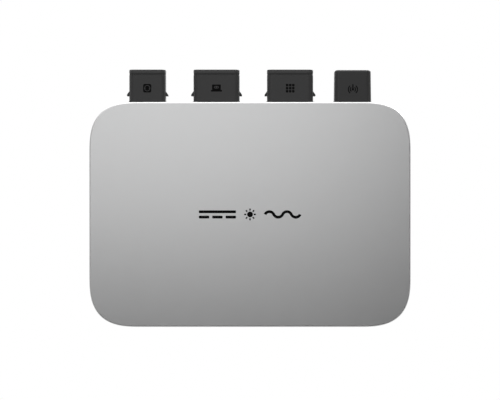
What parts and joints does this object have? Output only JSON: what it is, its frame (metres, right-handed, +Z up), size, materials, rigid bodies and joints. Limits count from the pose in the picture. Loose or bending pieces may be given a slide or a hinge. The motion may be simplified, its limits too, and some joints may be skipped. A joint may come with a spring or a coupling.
{
  "type": "micro inverter",
  "caption": "Flat aluminium micro inverter with rounded corners, capped plug-in ports and an antenna block along its top edge, and a finned heat sink behind.",
  "frame": {"origin": "centre of the bracket pad on the back of the heat sink, which is also the centre of the housing seen from the front", "axes": "+X to the right seen from the front, +Z up towards the ports, +Y out of the back: the front panel faces -Y"},
  "size_m": [0.242, 0.0308, 0.194],
  "materials": {
    "front_aluminium": "satin",
    "cast_aluminium": "matte",
    "seal_rubber": "matte",
    "screw_steel": "satin",
    "black_plastic": "matte",
    "contact_brass": "polished",
    "circuit_board": "satin",
    "cable_jacket": "satin",
    "button_rubber": "matte",
    "grey_silicone": "matte",
    "light_pipe": "gloss",
    "ferrite": "matte",
    "winding_tape": "satin",
    "relay_plastic": "satin",
    "capacitor_sleeve": "satin",
    "tinned_shield": "satin",
    "potting": "matte",
    "printed_ink": "gloss"
  },
  "bodies": {
    "housing": {"front_cover": "front_aluminium", "heat_sink_base": "cast_aluminium", "perimeter_gasket": "seal_rubber", "antenna_gasket": "seal_rubber", "cover_screw_1": "screw_steel", "cover_screw_2": "screw_steel", "cover_screw_3": "screw_steel", "cover_screw_4": "screw_steel", "cover_screw_5": "screw_steel", "cover_screw_6": "screw_steel", "cover_screw_7": "screw_steel", "cover_screw_8": "screw_steel", "earth_screw": "screw_steel", "vent_plug": "black_plastic", "antenna_radome": "black_plastic", "button_switch": "black_plastic", "grid_port_shroud": "black_plastic", "grid_contact_carrier": "black_plastic", "grid_contact_1": "contact_brass", "grid_contact_2": "contact_brass", "grid_contact_3": "contact_brass", "grid_port_gasket": "seal_rubber", "battery_port_shroud": "black_plastic", "battery_contact_carrier": "black_plastic", "battery_contact_1": "contact_brass", "battery_contact_2": "contact_brass", "battery_port_gasket": "seal_rubber", "solar_port_shroud": "black_plastic", "solar_contact_carrier": "black_plastic", "solar_contact_1": "contact_brass", "solar_contact_2": "contact_brass", "solar_contact_3": "contact_brass", "solar_contact_4": "contact_brass", "solar_port_gasket": "seal_rubber", "antenna_board": "circuit_board", "control_board": "circuit_board", "main_board": "circuit_board", "antenna_coax": "cable_jacket", "button_boot": "grey_silicone", "status_light_pipe": "light_pipe", "transformer_core_1": "ferrite", "transformer_core_2": "ferrite", "common_mode_choke": "ferrite", "output_inductor": "ferrite", "transformer_winding_1": "winding_tape", "transformer_winding_2": "winding_tape", "grid_relay_1": "relay_plastic", "grid_relay_2": "relay_plastic", "bulk_capacitor_1": "capacitor_sleeve", "bulk_capacitor_2": "capacitor_sleeve", "bulk_capacitor_3": "capacitor_sleeve", "radio_module": "tinned_shield", "potting_compound": "potting"},
    "grid_cap": {"grid_port_cap": "black_plastic", "grid_cap_seal": "seal_rubber"},
    "battery_cap": {"battery_port_cap": "black_plastic", "battery_cap_seal": "seal_rubber"},
    "solar_cap": {"solar_port_cap": "black_plastic", "solar_cap_seal": "seal_rubber"},
    "pairing_button": {"pairing_button": "button_rubber"}
  },
  "joints": [
    {"name": "grid_cap_pull", "type": "slide", "parent": "housing", "child": "grid_cap", "axis": [0, 0, 1], "range_m": [0, 0.03]},
    {"name": "battery_cap_pull", "type": "slide", "parent": "housing", "child": "battery_cap", "axis": [0, 0, 1], "range_m": [0, 0.03]},
    {"name": "solar_cap_pull", "type": "slide", "parent": "housing", "child": "solar_cap", "axis": [0, 0, 1], "range_m": [0, 0.03]},
    {"name": "pairing_button_press", "type": "slide", "parent": "housing", "child": "pairing_button", "axis": [0, 0, -1], "range_m": [0, 0.0008], "stiffness_N_per_m": 800, "springref_m": -0.0005}
  ]
}
